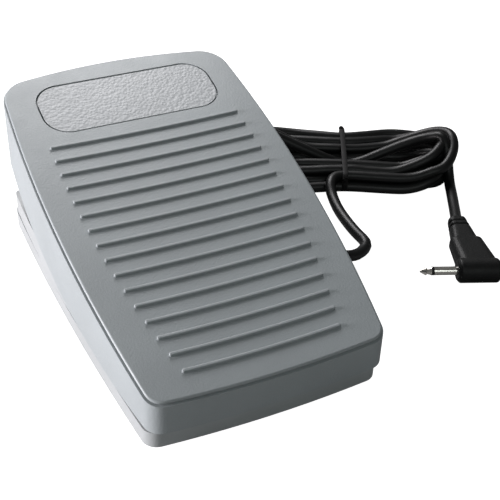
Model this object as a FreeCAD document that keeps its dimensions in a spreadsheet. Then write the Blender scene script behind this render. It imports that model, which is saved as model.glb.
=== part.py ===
import FreeCAD, Part
import math
import os
import re

import Sketcher
from FreeCAD import Placement, Rotation, Vector

# Foot pedal of an office dictation machine. Millimetres, +Z up, +Y towards the raised far end.
# The origin is on the floor, under the middle of the pedal's length and width.

doc = FreeCAD.newDocument("FootPedal")

SIZES = {
    # overall
    "overallLength": (160.6, "front of the cover to the rear of the base"),
    "overallWidth": (100.0, "across the cover's skirt at its widest"),
    "pitchAngle": (15.0, "slope of the treadle top, degrees"),
    "strokeAngle": (4.0, "how far the treadle tips, degrees"),
    # treadle cover
    "coverRearInset": (3.2, "the skirt ends this far before the rear of the base"),
    "nearTopHeight": (23.0, "floor to the top face at the front edge"),
    "topBowRadius": (4150.0, "slight crown of the top face along its length"),
    "coverWidestShare": (0.06413, "where the cover is widest, from the middle, over the length"),
    "coverSideBow": (5.502, "how far the long sides bow out over the whole length"),
    "coverNearRadius": (470.0, "bow of the front edge"),
    "coverFarRadius": (245.0, "bow of the rear edge"),
    "coverNearCorner": (6.5, "front corner radius in plan"),
    "coverFarCorner": (12.0, "rear corner radius in plan"),
    "coverWall": (2.2, "skirt thickness"),
    "coverRoof": (2.5, "top thickness"),
    "capInset": (0.7, "ledge between the top part and the skirt"),
    "capDepth": (0.9, "height of the rounded top part's edge"),
    "grooveWidth": (0.5, "height of the line under the top part"),
    "grooveDepth": (0.8, "how far that line goes in behind the cap's edge"),
    "capRounding": (0.6, "rounding of the top edge"),
    "skirtLowest": (9.7, "lowest height of the skirt's bow"),
    "skirtLowestY": (-106.0, "where the skirt's bow would be lowest"),
    "skirtBowRadius": (602.0, "bow of the skirt's lower edge"),
    # tread ribs
    "ribCount": (16, "raised lines across the top"),
    "ribFirst": (7.8, "first rib, along the slope from the front edge"),
    "ribPitch": (7.2, "rib spacing along the slope"),
    "ribNearHalf": (28.5, "half length of the rib nearest the front"),
    "ribSpread": (24.7, "growth of the half length towards the rear"),
    "ribTaper": (15.3, "how that growth slows down"),
    "ribWidth": (1.3, "rib width"),
    "ribHeight": (0.9, "rib height over the top face"),
    "ribBow": (0.7, "how far a rib's middle bows to the front"),
    # badge
    "badgeLength": (71.3, "across the pedal"),
    "badgeWidth": (25.5, "along the pedal, in plan"),
    "badgeCorner": (9.5, "corner radius"),
    "badgeInset": (26.2, "rear of the pedal to the middle of the badge"),
    "badgeRecess": (1.3, "depth of its pocket"),
    "badgeGap": (0.7, "groove around the badge"),
    # base
    "footProud": (1.5, "rubber feet under the base"),
    "baseFrontInset": (4.1, "the base starts this far behind the cover's front"),
    "baseSideInset": (2.8, "the base is this much narrower on each side"),
    "baseWidestShare": (0.137, "where the base is widest, from the middle, over the length"),
    "baseSideBow": (4.03, "how far the base's sides bow out over the whole length"),
    "baseNearRadius": (450.0, "bow of the base's front"),
    "baseFarRadius": (260.0, "bow of the base's rear"),
    "baseNearCorner": (5.5, "front corner radius in plan"),
    "baseFarCorner": (10.5, "rear corner radius in plan"),
    "baseHeight": (14.7, "outside height of the base without its feet"),
    "plinthHeight": (6.3, "the wider foot of the base's wall"),
    "plinthFront": (0.9, "how far that foot stands out at the front"),
    "plinthSideBow": (2.55, "bow of its sides over the whole length"),
    "baseWall": (2.2, "side wall"),
    "baseFloor": (2.4, "floor thickness"),
    "noseRadius": (13.0, "round top of the base's rear"),
    # hinge
    "axisInset": (16.3, "front of the cover to the hinge line"),
    "axisHeight": (9.5, "hinge line over the floor"),
    "rodDiameter": (3.0, "steel hinge rod"),
    "rodLength": (74.4, "rod end to rod end"),
    "runningGap": (0.05, "radial gap of a moving hole"),
    "earRadius": (4.0, "round end of each ear"),
    "baseEarX": (32.0, "inner face of a base ear"),
    "baseEarWidth": (3.2, "thickness of a base ear"),
    "coverEarX": (28.3, "inner face of a cover ear"),
    "coverEarWidth": (3.2, "thickness of a cover ear"),
    "clipRadius": (3.4, "retaining clip"),
    "clipWidth": (0.8, "clip thickness"),
    # spring
    "springY": (6.0, "middle of the spring"),
    "springRadius": (5.0, "mean coil radius"),
    "wireDiameter": (1.3, "spring wire"),
    "springTop": (30.0, "height of the upper seat"),
    "springTurns": (7, "coils"),
    "seatGap": (0.05, "play between coil and seat"),
    "cupHeight": (4.5, "height of the ring around the lower coil"),
    "cupWall": (2.0, "thickness of that ring"),
    "cupGap": (0.75, "room around the coil"),
    "pilotLength": (7.0, "peg inside the upper coils"),
    # upper stop: hook under a keeper bar
    "hookWidth": (12.0, "across the hook"),
    "hookY": (24.0, "near face of the hook's shank"),
    "hookShank": (3.0, "thickness of the shank"),
    "hookReach": (4.0, "how far its lip stands out"),
    "hookLip": (2.5, "height of the lip"),
    "keeperHeight": (14.0, "underside of the keeper bar over the floor"),
    "keeperGap": (0.3, "play under the keeper bar at rest"),
    "keeperRoom": (1.2, "room between shank and bar"),
    "keeperDepth": (6.0, "width of the bar"),
    "keeperLength": (42.0, "length of the bar"),
    "keeperThick": (1.2, "thickness of the bar"),
    "keeperSpan": (32.0, "between its two screws"),
    # lower stop
    "bumpX": (28.0, "bumpers each side of the middle"),
    "bumpY": (33.0, "bumpers along the pedal"),
    "bumpRadius": (5.0, "rubber bumper"),
    "bumpHeight": (5.6, "bumper height"),
    "bumpGap": (0.3, "gap left at full stroke"),
    "postRadius": (4.2, "stop post under the cover"),
    # ballast
    "ballastLength": (66.0, "steel plate, across"),
    "ballastWidth": (24.0, "steel plate, along"),
    "ballastThick": (4.0, "steel plate thickness"),
    "ballastInset": (38.3, "rear of the pedal to the near edge of the plate"),
    "ballastSpan": (52.0, "between its two screws"),
    # screws
    "bossRadius": (3.2, "screw boss"),
    "shankRadius": (1.25, "M2.5 shank"),
    "headRadius": (2.6, "pan head"),
    "headHeight": (1.7, "pan head height"),
    "shankLength": (6.0, "thread in the boss"),
    "screwGap": (0.3, "clearance hole around a shank"),
    "slotWidth": (0.6, "driver slot"),
    "slotDepth": (0.7, "driver slot depth"),
    # switch
    "switchX": (18.4, "left face of the switch"),
    "switchWidth": (6.4, "across"),
    "switchNear": (-25.0, "near face of the switch"),
    "switchLength": (19.8, "along"),
    "switchBottom": (9.5, "underside over the floor"),
    "switchHeight": (10.3, "case height"),
    "plungerRadius": (1.2, "switch button"),
    "plungerY": (-17.0, "button along the pedal"),
    "plungerProud": (1.6, "button over the case at rest"),
    "plungerLength": (4.4, "whole button"),
    "plungerRoom": (4.8, "depth of its hole"),
    "leverY": (-23.5, "lever pivot"),
    "leverRise": (0.5, "pivot over the case"),
    "leverLength": (16.5, "pivot to tip"),
    "leverWidth": (4.6, "across"),
    "leverThick": (0.5, "steel strip"),
    "leverAngle": (14.6, "slope at rest, degrees"),
    "pivotRadius": (0.5, "lever pivot pin"),
    "pivotEar": (1.4, "height of the pivot ears"),
    "pusherWidth": (4.0, "pusher under the cover, across"),
    "pusherNear": (-9.5, "near face of the pusher"),
    "pusherDepth": (3.0, "pusher along the pedal"),
    "pusherGap": (0.3, "free play over the lever"),
    "bracketThick": (1.2, "sheet steel"),
    "bracketFoot": (11.0, "foot of the bracket"),
    "bracketHeight": (11.1, "height of the bracket"),
    "bracketRise": (4.0, "bosses under the bracket's foot"),
    "mountSpan": (13.0, "between the switch's own screws"),
    "mountRadius": (1.1, "those screws"),
    "terminalWidth": (4.0, "solder tag, across"),
    "terminalThick": (0.5, "solder tag"),
    "terminalLength": (3.5, "solder tag"),
    "terminalPitch": (8.0, "between tags"),
    # cord, gland and clamp
    "cordDiameter": (4.8, "cord"),
    "glandY": (-13.1, "where the cord leaves"),
    "glandHeight": (9.0, "cord over the floor there"),
    "glandReach": (13.57, "gland outside the wall"),
    "glandCollar": (4.2, "radius of its collars"),
    "glandNeck": (3.6, "radius through the wall"),
    "glandTip": (2.7, "radius at the outer end"),
    "collarThick": (1.8, "each collar"),
    "innerCordEnd": (33.0, "where the jacket is stripped"),
    "clampX": (38.0, "middle of the cord clamp"),
    "clampWidth": (5.0, "along the cord"),
    "clampLength": (17.0, "across the cord"),
    "clampHeight": (3.6, "over the cord's middle"),
    "clampSpan": (11.6, "between its screws"),
    "leadDiameter": (1.3, "each wire"),
    "leadSpread": (0.9, "wire from the cord's middle"),
    # feet and plate
    "footRadius": (6.0, "rubber foot"),
    "footRecess": (1.1, "sunk into the base"),
    "footNearX": (30.0, "front feet"),
    "footNearInset": (22.3, "front of the cover to the front feet"),
    "footFarX": (34.0, "rear feet"),
    "footFarInset": (20.3, "rear of the pedal to the rear feet"),
    "plateLength": (44.0, "blank plate under the base"),
    "plateWidth": (22.0, "blank plate"),
    "plateThick": (0.4, "blank plate"),
    # hank
    "hankHeight": (13.0, "height of the tied cord"),
    "tieWidth": (2.4, "tie along the hank"),
    "tieThick": (0.8, "tie thickness"),
    "tieHalf": (22.2, "half the hank's width inside the tie"),
    "tieHeight": (9.6, "top of the tie over the floor"),
    "tieX": (104.5, "tie on the floor"),
    "tieY": (56.8, "tie on the floor"),
    "hankAngle": (-27.5, "direction of the hank, degrees"),
    # plug
    "plugX": (102.9, "root of the pin"),
    "plugY": (-37.6, "root of the pin"),
    "plugLift": (0.2, "moulded body over the floor"),
    "plugAngle": (157.7, "direction of the pin, degrees"),
    "pinRadius": (1.75, "3.5 mm plug"),
    "sleeveLength": (9.3, "sleeve contact"),
    "ringLength": (1.1, "insulating ring"),
    "tipLength": (4.5, "tip contact"),
    "barrelRadius": (5.0, "moulded body"),
    "barrelLength": (17.6, "moulded body along the pin"),
    "barrelBevel": (1.2, "its bevelled ends"),
    "neckEnd": (35.0, "pin line to the cord's entry"),
    "neckStep": (19.0, "pin line to the step in the neck"),
    "neckWide": (16.4, "neck across, at the body"),
    "neckNarrow": (7.6, "neck across, at the cord"),
    "neckThick": (9.2, "neck thickness at the body"),
    "neckThin": (6.2, "neck thickness at the cord"),
    "entryX": (-7.6, "cord's entry along the pin line"),
}

# sizes that follow from the ones above
TIED = {
    "coverLength": "overallLength - coverRearInset",
    "baseLength": "overallLength - baseFrontInset",
    "baseHalfWidth": "overallWidth / 2 - baseSideInset",
    "coverWidestY": "overallLength * coverWidestShare",
    "coverSideRadius": "overallLength ^ 2 / (8 * coverSideBow)",
    "baseWidestY": "overallLength * baseWidestShare",
    "baseSideRadius": "overallLength ^ 2 / (8 * baseSideBow)",
    "plinthSideRadius": "overallLength ^ 2 / (8 * plinthSideBow)",
    "axisY": "axisInset - overallLength / 2",
    "badgeY": "overallLength / 2 - badgeInset",
    "ballastY": "overallLength / 2 - ballastInset",
    "footNearY": "footNearInset - overallLength / 2",
    "footFarY": "overallLength / 2 - footFarInset",
    "wallOut": "baseHalfWidth - (baseWidestY - glandY) ^ 2 / (2 * baseSideRadius)",
    "glandEnd": "wallOut + glandReach",
    "plugHeight": "barrelRadius + plugLift",
}

sheet = doc.addObject("Spreadsheet::Sheet", "Dims")
for row, (alias, (amount, note)) in enumerate(SIZES.items(), start=1):
    sheet.set("A%d" % row, alias)
    sheet.set("B%d" % row, str(amount))
    sheet.set("C%d" % row, note)
    sheet.setAlias("B%d" % row, alias)
doc.recompute()

WORD = re.compile(r"[A-Za-z]+")


def linked(formula):
    """The formula with every size name pointing at its cell."""
    text = str(formula)
    while any(word in TIED for word in WORD.findall(text)):
        text = WORD.sub(lambda m: "(%s)" % TIED[m[0]] if m[0] in TIED else m[0], text)
    return WORD.sub(lambda m: "Dims." + m[0] if m[0] in SIZES else m[0], text)


def worth(formula):
    """The number that a formula gives now."""
    return float(sheet.evalExpression(linked(formula)))


def bind(obj, links):
    """Tie properties of an object to the sheet."""
    for prop, formula in links.items():
        obj.setExpression(prop, linked(formula))


def move(obj, at):
    """Tie an object's place to the sheet."""
    bind(obj, {"Placement.Base." + axis: f for axis, f in zip("xyz", at) if f != "0"})
    return obj


def box(size, at):
    obj = doc.addObject("Part::Box", "Box")
    bind(obj, dict(zip(("Length", "Width", "Height"), size)))
    return move(obj, at)


TURNS = {
    "z": Rotation(),
    "x": Rotation(Vector(0, 1, 0), 90),
    "y": Rotation(Vector(1, 0, 0), -90),
}


def cylinder(radius, length, at, axis="z"):
    obj = doc.addObject("Part::Cylinder", "Cylinder")
    obj.Placement = Placement(Vector(), TURNS[axis])
    bind(obj, {"Radius": radius, "Height": length})
    return move(obj, at)


def cone(low_radius, high_radius, length, at, axis="z"):
    obj = doc.addObject("Part::Cone", "Cone")
    obj.Placement = Placement(Vector(), TURNS[axis])
    bind(obj, {"Radius1": low_radius, "Radius2": high_radius, "Height": length})
    return move(obj, at)


def fuse(*shapes):
    obj = doc.addObject("Part::MultiFuse", "Fuse")
    obj.Shapes = list(shapes)
    return obj


def common(first, second):
    obj = doc.addObject("Part::Common", "Common")
    obj.Base = first
    obj.Tool = second
    return obj


def cut(base, *tools):
    obj = doc.addObject("Part::Cut", "Cut")
    obj.Base = base
    obj.Tool = tools[0] if len(tools) == 1 else fuse(*tools)
    return obj


def group(*shapes):
    """Separate solids kept in one node."""
    obj = doc.addObject("Part::Compound", "Group")
    obj.Links = list(shapes)
    return obj


def feature(shape):
    obj = doc.addObject("Part::Feature", "Shape")
    obj.Shape = shape
    return obj


NODES = {}


def node(label, obj):
    """Name the finished piece."""
    obj.Label = label
    NODES[label] = obj
    return obj


def sketch_on(body, role):
    sketch = body.newObject("Sketcher::SketchObject", body.Name + "Sketch")
    plane = [f for f in body.Origin.OriginFeatures if f.Role == role][0]
    sketch.AttachmentSupport = [(plane, "")]
    sketch.MapMode = "FlatFace"
    return sketch


def constrain(sketch, kind, *parts, formula):
    index = sketch.addConstraint(Sketcher.Constraint(kind, *parts, worth(formula)))
    sketch.setExpression("Constraints[%d]" % index, linked(formula))


# ---- outlines with four bowed sides and four tangent corners -------------------------------

COVER = {
    "half": "overallWidth / 2",
    "near": "-overallLength / 2",
    "far": "coverLength - overallLength / 2",
    "wide": "coverWidestY",
    "side": "coverSideRadius",
    "nearBow": "coverNearRadius",
    "farBow": "coverFarRadius",
    "nearCorner": "coverNearCorner",
    "farCorner": "coverFarCorner",
}
BASE = {
    "half": "baseHalfWidth",
    "near": "overallLength / 2 - baseLength",
    "far": "overallLength / 2",
    "wide": "baseWidestY",
    "side": "baseSideRadius",
    "nearBow": "baseNearRadius",
    "farBow": "baseFarRadius",
    "nearCorner": "baseNearCorner",
    "farCorner": "baseFarCorner",
}

PLINTH = dict(BASE, near="overallLength / 2 - baseLength - plinthFront", side="plinthSideRadius")


def corner_centre(side_x, side_y, side_r, end_y, end_r, corner, sign):
    """Centre of the arc that rounds a side arc into an end arc, on the +X side."""
    reach_side = side_r - corner
    reach_end = end_r - corner
    gap = math.hypot(side_x, side_y - end_y)
    along = (reach_side ** 2 - reach_end ** 2 + gap ** 2) / (2 * gap)
    across = math.sqrt(reach_side ** 2 - along ** 2)
    ux, uy = -side_x / gap, (end_y - side_y) / gap
    spots = [
        Vector(side_x + along * ux - s * across * uy, side_y + along * uy + s * across * ux, 0)
        for s in (-1, 1)
    ]
    return max(spots, key=lambda p: sign * p.y)


def plan(name, outline, inset, height, low="0"):
    """A prism over one of the two outlines, set in by an amount."""
    f = {key: "(%s)" % formula for key, formula in outline.items()}
    half = "%s - (%s)" % (f["half"], inset)
    side = "%s - (%s)" % (f["side"], inset)
    near_r = "%s - (%s)" % (f["nearBow"], inset)
    far_r = "%s - (%s)" % (f["farBow"], inset)
    near_corner = "%s - (%s)" % (f["nearCorner"], inset)
    far_corner = "%s - (%s)" % (f["farCorner"], inset)
    side_x = "%s - %s" % (f["half"], f["side"])
    near_y = "%s + %s" % (f["near"], f["nearBow"])
    far_y = "%s - %s" % (f["far"], f["farBow"])

    right = Vector(worth(side_x), worth(f["wide"]), 0)
    left = Vector(-right.x, right.y, 0)
    near = Vector(0, worth(near_y), 0)
    far = Vector(0, worth(far_y), 0)
    near_right = corner_centre(
        right.x, right.y, worth(side), near.y, worth(near_r), worth(near_corner), -1)
    far_right = corner_centre(
        right.x, right.y, worth(side), far.y, worth(far_r), worth(far_corner), 1)
    near_left = Vector(-near_right.x, near_right.y, 0)
    far_left = Vector(-far_right.x, far_right.y, 0)

    def heading(start, end):
        return math.atan2(end.y - start.y, end.x - start.x)

    # each arc: centre, radius, start direction, end direction, counter-clockwise
    arcs = [
        (right, side, heading(right, near_right), heading(right, far_right)),
        (far_right, far_corner, heading(right, far_right), heading(far, far_right)),
        (far, far_r, heading(far, far_right), heading(far, far_left)),
        (far_left, far_corner, heading(far, far_left), heading(left, far_left)),
        (left, side, heading(left, far_left), heading(left, near_left) + 2 * math.pi),
        (near_left, near_corner, heading(left, near_left), heading(near, near_left)),
        (near, near_r, heading(near, near_left), heading(near, near_right)),
        (near_right, near_corner, heading(near, near_right), heading(right, near_right)),
    ]
    body = doc.addObject("PartDesign::Body", name)
    sketch = sketch_on(body, "XY_Plane")
    sketch.addGeometry([
        Part.ArcOfCircle(Part.Circle(centre, Vector(0, 0, 1), worth(radius)), start, end)
        for centre, radius, start, end in arcs
    ], False)
    for index in range(len(arcs)):
        following = (index + 1) % len(arcs)
        sketch.addConstraint(Sketcher.Constraint("Tangent", index, 2, following, 1))
    for index, arc in enumerate(arcs):
        constrain(sketch, "Radius", index, formula=arc[1])
    centres = {
        0: (side_x, f["wide"]),
        2: ("0", far_y),
        4: ("-(%s)" % side_x, f["wide"]),
        6: ("0", near_y),
    }
    for index, (x, y) in centres.items():
        if x == "0":
            sketch.addConstraint(Sketcher.Constraint("PointOnObject", index, 3, -2))
        else:
            constrain(sketch, "DistanceX", -1, 1, index, 3, formula=x)
        constrain(sketch, "DistanceY", -1, 1, index, 3, formula=y)
    pad = body.newObject("PartDesign::Pad", name + "Pad")
    pad.Profile = sketch
    bind(pad, {"Length": height})
    return move(body, ("0", "0", low))


def rounded_bar(name, length, width, corner, at_y, height):
    """A prism over a rounded rectangle, centred across the pedal."""
    body = doc.addObject("PartDesign::Body", name)
    sketch = sketch_on(body, "XY_Plane")
    hx = worth(length) / 2
    hy = worth(width) / 2
    r = worth(corner)
    y0 = worth(at_y)
    spots = [(hx - r, hy - r, 0), (r - hx, hy - r, 90), (r - hx, r - hy, 180), (hx - r, r - hy, 270)]
    items = []
    for k, (cx, cy, start) in enumerate(spots):
        middle = Vector(cx, y0 + cy, 0)
        circle = Part.Circle(middle, Vector(0, 0, 1), r)
        items.append(Part.ArcOfCircle(circle, math.radians(start), math.radians(start + 90)))
        nx, ny = spots[(k + 1) % 4][:2]
        turn = math.radians(start + 90)
        outward = Vector(r * math.cos(turn), r * math.sin(turn), 0)
        items.append(Part.LineSegment(middle + outward, Vector(nx, y0 + ny, 0) + outward))
    sketch.addGeometry(items, False)
    for k in range(8):
        sketch.addConstraint(Sketcher.Constraint("Tangent", k, 2, (k + 1) % 8, 1))
    constrain(sketch, "Radius", 0, formula=corner)
    for k in (2, 4, 6):
        sketch.addConstraint(Sketcher.Constraint("Equal", 0, k))
    for k, kind in ((1, "Horizontal"), (3, "Vertical")):
        sketch.addConstraint(Sketcher.Constraint(kind, k))
    constrain(sketch, "DistanceX", -1, 1, 0, 3, formula="(%s) / 2 - (%s)" % (length, corner))
    constrain(sketch, "DistanceX", 2, 3, -1, 1, formula="(%s) / 2 - (%s)" % (length, corner))
    constrain(sketch, "DistanceY", -1, 1, 0, 3,
              formula="(%s) + (%s) / 2 - (%s)" % (at_y, width, corner))
    constrain(sketch, "DistanceY", -1, 1, 6, 3,
              formula="(%s) - (%s) / 2 + (%s)" % (at_y, width, corner))
    pad = body.newObject("PartDesign::Pad", name + "Pad")
    pad.Profile = sketch
    bind(pad, {"Length": height})
    return body


# ---- the sloping, slightly crowned levels of the cover --------------------------------------

CROWN = "(coverLength / cos(pitchAngle)) ^ 2 / (8 * topBowRadius)"
MID_Y = "(coverLength - overallLength) / 2"
MID_TOP = "nearTopHeight + coverLength / 2 * tan(pitchAngle) + " + CROWN
CENTRE_Y = "%s + topBowRadius * sin(pitchAngle)" % MID_Y
CENTRE_Z = "%s - topBowRadius * cos(pitchAngle)" % MID_TOP
TALL = "nearTopHeight + coverLength"


def level(depth):
    """All that lies more than a depth under the crowned top face."""
    return cylinder("topBowRadius - (%s)" % depth, "overallWidth * 1.2",
                    ("-overallWidth * 0.6", CENTRE_Y, CENTRE_Z), "x")


def above_skirt_edge():
    """All that lies above the bowed lower edge of the skirt."""
    return cylinder("skirtBowRadius", "overallWidth * 1.2",
                    ("-overallWidth * 0.6", "skirtLowestY", "skirtLowest + skirtBowRadius"), "x")


FLOOR_TOP = "footProud + baseFloor"
RIM = "footProud + baseHeight"
ROOF_MIDDLE = "coverRoof / 2"


def screw(x, y, seat, shank="shankLength"):
    """A slotted pan head screw standing on its seat, pointing down."""
    head = cylinder("headRadius", "headHeight", (x, y, seat))
    body = cylinder("shankRadius", shank, (x, y, "%s - (%s)" % (seat, shank)))
    slot = box(("headRadius * 3", "slotWidth", "slotDepth * 2"),
               ("%s - headRadius * 1.5" % x, "%s - slotWidth / 2" % y,
                "%s + headHeight - slotDepth" % seat))
    return cut(fuse(head, body), slot)


def boss(x, y, top):
    """A screw boss on the base's floor, drilled for a thread."""
    return cylinder("bossRadius", "%s - (footProud + baseFloor / 2)" % top,
                    (x, y, "footProud + baseFloor / 2"))


def drill(x, y, top, depth="shankLength"):
    return cylinder("shankRadius", "%s + 1" % depth, (x, y, "%s - (%s)" % (top, depth)))


# ---- treadle cover --------------------------------------------------------------------------

skirt = common(plan("SkirtPlan", COVER, "0", TALL), level("capDepth + grooveWidth"))
groove_core = common(plan("GroovePlan", COVER, "capInset + grooveDepth", TALL),
                     level("capDepth / 2"))
lower_shell = common(fuse(skirt, groove_core), above_skirt_edge())
cap_block = common(plan("CapPlan", COVER, "capInset", TALL), level("0"))
doc.recompute()


def edges_on_radius(obj, radius):
    """Numbers of the edges around the face that has this cylinder radius."""
    wanted = [f for f in obj.Shape.Faces
              if isinstance(f.Surface, Part.Cylinder) and abs(f.Surface.Radius - radius) < 0.01]
    around = [e for f in wanted for e in f.Edges]
    return [i for i, e in enumerate(obj.Shape.Edges, start=1)
            if any(e.isSame(other) for other in around)]


cap_round = doc.addObject("Part::Fillet", "CapRounding")
cap_round.Base = cap_block
rounding = worth("capRounding")
cap_round.Edges = [(i, rounding, rounding)
                   for i in edges_on_radius(cap_block, worth("topBowRadius"))]
cap = cut(cap_round, level("capDepth"))

hollow = common(plan("HollowPlan", COVER, "coverWall", TALL), level("coverRoof"))
cover_ears = []
cover_holes = []
for side_x in ("coverEarX", "-coverEarX - coverEarWidth"):
    cover_ears.append(cylinder("earRadius", "coverEarWidth", (side_x, "axisY", "axisHeight"), "x"))
    cover_ears.append(box(("coverEarWidth", "earRadius * 2", TALL),
                          (side_x, "axisY - earRadius", "axisHeight")))
    cover_holes.append(cylinder("rodDiameter / 2 + runningGap", "coverEarWidth + 2",
                                ("%s - 1" % side_x, "axisY", "axisHeight"), "x"))
spring_post = cylinder("springRadius + wireDiameter", TALL, ("0", "springY", "springTop"))
spring_pilot = cylinder("springRadius - wireDiameter / 2 - cupGap", TALL,
                        ("0", "springY", "springTop - pilotLength"))
stop_posts = []
STOP_RISE = "bumpHeight + bumpGap + (bumpY + postRadius - axisY) * sin(strokeAngle)"
STOP_HEIGHT = "%s + %s" % (FLOOR_TOP, STOP_RISE)
for side_x in ("bumpX", "-bumpX"):
    stop_posts.append(cylinder("postRadius", TALL, (side_x, "bumpY", STOP_HEIGHT)))
HOOK_TOP = "keeperHeight - keeperGap"
hook_shank = box(("hookWidth", "hookShank", TALL), ("-hookWidth / 2", "hookY", "%s - hookLip" % HOOK_TOP))
hook_lip = box(("hookWidth", "hookReach + hookShank", "hookLip"),
               ("-hookWidth / 2", "hookY", "%s - hookLip" % HOOK_TOP))
SWITCH_TOP = "switchBottom + switchHeight"
SWITCH_MID = "switchX + switchWidth / 2"
PUSHER_LOW = ("%s + leverRise + leverLength * sin(leverAngle) + leverThick / 2 + pusherGap"
              % SWITCH_TOP)
pusher = box(("pusherWidth", "pusherDepth", TALL),
             ("%s - pusherWidth / 2" % SWITCH_MID, "pusherNear", PUSHER_LOW))
inside = common(fuse(*cover_ears, spring_post, spring_pilot, *stop_posts, hook_shank, pusher),
                level(ROOF_MIDDLE))


def tread_ribs():
    """Thin bowed bars with round ends, standing out of the top face."""
    slope = math.radians(worth("pitchAngle"))
    front = worth("-overallLength / 2 + capInset") + 1.5
    count = int(worth("ribCount"))
    width = worth("ribWidth")
    tall = worth(TALL)
    top = Part.makeCylinder(worth("topBowRadius + ribHeight"), worth("overallWidth"),
                            Vector(worth("-overallWidth / 2"), worth(CENTRE_Y), worth(CENTRE_Z)),
                            Vector(1, 0, 0))
    floor = Part.makeCylinder(worth("topBowRadius - coverRoof / 2"), worth("overallWidth"),
                              Vector(worth("-overallWidth / 2"), worth(CENTRE_Y), worth(CENTRE_Z)),
                              Vector(1, 0, 0))
    bars = []
    for k in range(count):
        share = k / (count - 1)
        half = worth("ribNearHalf") + worth("ribSpread") * share - worth("ribTaper") * share ** 2
        y = front + (worth("ribFirst") + k * worth("ribPitch")) * math.cos(slope)
        bow = worth("ribBow")
        edges = []
        for offset, way in ((-width / 2, 1), (width / 2, -1)):
            ends = [Vector(-way * half, y + bow + offset, 0), Vector(way * half, y + bow + offset, 0)]
            edges.append(Part.Arc(ends[0], Vector(0, y + offset, 0), ends[1]).toShape())
            tip = Vector(way * (half + width / 2), y + bow, 0)
            end = Vector(way * half, y + bow - offset, 0)
            edges.append(Part.Arc(ends[1], tip, end).toShape())
        bar = Part.Face(Part.Wire(edges)).extrude(Vector(0, 0, tall)).common(top)
        crest = [e for f in bar.Faces for e in f.Edges
                 if isinstance(f.Surface, Part.Cylinder) and f.Surface.Radius > worth("topBowRadius")]
        bar = bar.makeFillet(width * 0.3, crest).cut(floor)
        bars.append(bar)
    return Part.makeCompound(bars)


ribs = feature(tread_ribs())
badge_space = cut(rounded_bar("BadgePocket", "badgeLength + 2 * badgeGap", "badgeWidth + 2 * badgeGap",
                              "badgeCorner + badgeGap", "badgeY", TALL), level("badgeRecess"))
shell = cut(fuse(lower_shell, cap), hollow)
node("treadle_cover", cut(fuse(shell, inside, hook_lip, ribs), badge_space, *cover_holes))

badge_block = common(rounded_bar("BadgePlan", "badgeLength", "badgeWidth", "badgeCorner", "badgeY", TALL),
                     level("0.1"))
node("badge_plate", cut(badge_block, level("badgeRecess")))

# ---- base tray ------------------------------------------------------------------------------


def nose(inset):
    """What the rounded rear takes off a block with that inset."""
    middle_y = "overallLength / 2 - noseRadius"
    middle_z = "%s - noseRadius" % RIM
    corner = box(("overallWidth * 1.2", "noseRadius + 5", "noseRadius + 5"),
                 ("-overallWidth * 0.6", middle_y, middle_z))
    return cut(corner, cylinder("noseRadius - (%s)" % inset, "overallWidth * 1.4",
                                ("-overallWidth * 0.7", middle_y, middle_z), "x"))


base_block = fuse(cut(plan("BasePlan", BASE, "0", "baseHeight", "footProud"), nose("0")),
                  cut(plan("PlinthPlan", PLINTH, "0", "plinthHeight", "footProud"), nose("0")))
base_hollow = cut(plan("BaseHollow", BASE, "baseWall", "baseHeight", FLOOR_TOP), nose("baseWall"))
base_shell = cut(base_block, base_hollow)
ear_low = "footProud + baseFloor / 2"
base_add = []
base_holes = []
for side_x in ("baseEarX", "-baseEarX - baseEarWidth"):
    base_add.append(cylinder("earRadius", "baseEarWidth", (side_x, "axisY", "axisHeight"), "x"))
    base_add.append(box(("baseEarWidth", "earRadius * 2", "axisHeight - (%s)" % ear_low),
                        (side_x, "axisY - earRadius", ear_low)))
    base_holes.append(cylinder("rodDiameter / 2", "baseEarWidth + 2",
                               ("%s - 1" % side_x, "axisY", "axisHeight"), "x"))
CUP_INNER = "springRadius + wireDiameter / 2 + cupGap"
base_add.append(cylinder("%s + cupWall" % CUP_INNER, "cupHeight + baseFloor / 2",
                         ("0", "springY", ear_low)))
base_holes.append(cylinder(CUP_INNER, "cupHeight + 5", ("0", "springY", FLOOR_TOP)))
KEEPER_Y = "hookY + hookShank + keeperRoom"
KEEPER_MID = "%s + keeperDepth / 2" % KEEPER_Y
keeper_spots = [("keeperSpan / 2", KEEPER_MID), ("-keeperSpan / 2", KEEPER_MID)]
BALLAST_MID = "ballastY + ballastWidth / 2"
BALLAST_TOP = "%s + ballastThick" % FLOOR_TOP
ballast_spots = [("ballastSpan / 2", BALLAST_MID), ("-ballastSpan / 2", BALLAST_MID)]
BRACKET_Z = "%s + bracketRise" % FLOOR_TOP
BRACKET_X = "switchX - bracketThick - bracketFoot"
BRACKET_MID_X = "%s + bracketFoot / 2" % BRACKET_X
SWITCH_MID_Y = "switchNear + switchLength / 2"
bracket_spots = [(BRACKET_MID_X, "%s - 5" % SWITCH_MID_Y), (BRACKET_MID_X, "%s + 5" % SWITCH_MID_Y)]
clamp_spots = [("clampX", "glandY + clampSpan / 2"), ("clampX", "glandY - clampSpan / 2")]
CLAMP_DEPTH = "glandHeight - (%s)" % FLOOR_TOP
for spots, top, depth in ((keeper_spots, "keeperHeight", "shankLength"),
                          (ballast_spots, BALLAST_TOP, "ballastThick"),
                          (bracket_spots, BRACKET_Z, "bracketRise"),
                          (clamp_spots, "glandHeight", CLAMP_DEPTH)):
    for x, y in spots:
        base_add.append(boss(x, y, top))
        base_holes.append(drill(x, y, top, depth))
SADDLE_TOP = "glandHeight - cordDiameter / 2"
base_add.append(box(("clampWidth - 1", "cordDiameter + 1", "%s - (%s)" % (SADDLE_TOP, ear_low)),
                    ("clampX - clampWidth / 2 + 0.5", "glandY - cordDiameter / 2 - 0.5", ear_low)))
base_holes.append(cylinder("glandNeck", "20", ("overallWidth / 2 - 10", "glandY", "glandHeight"), "x"))
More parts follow.
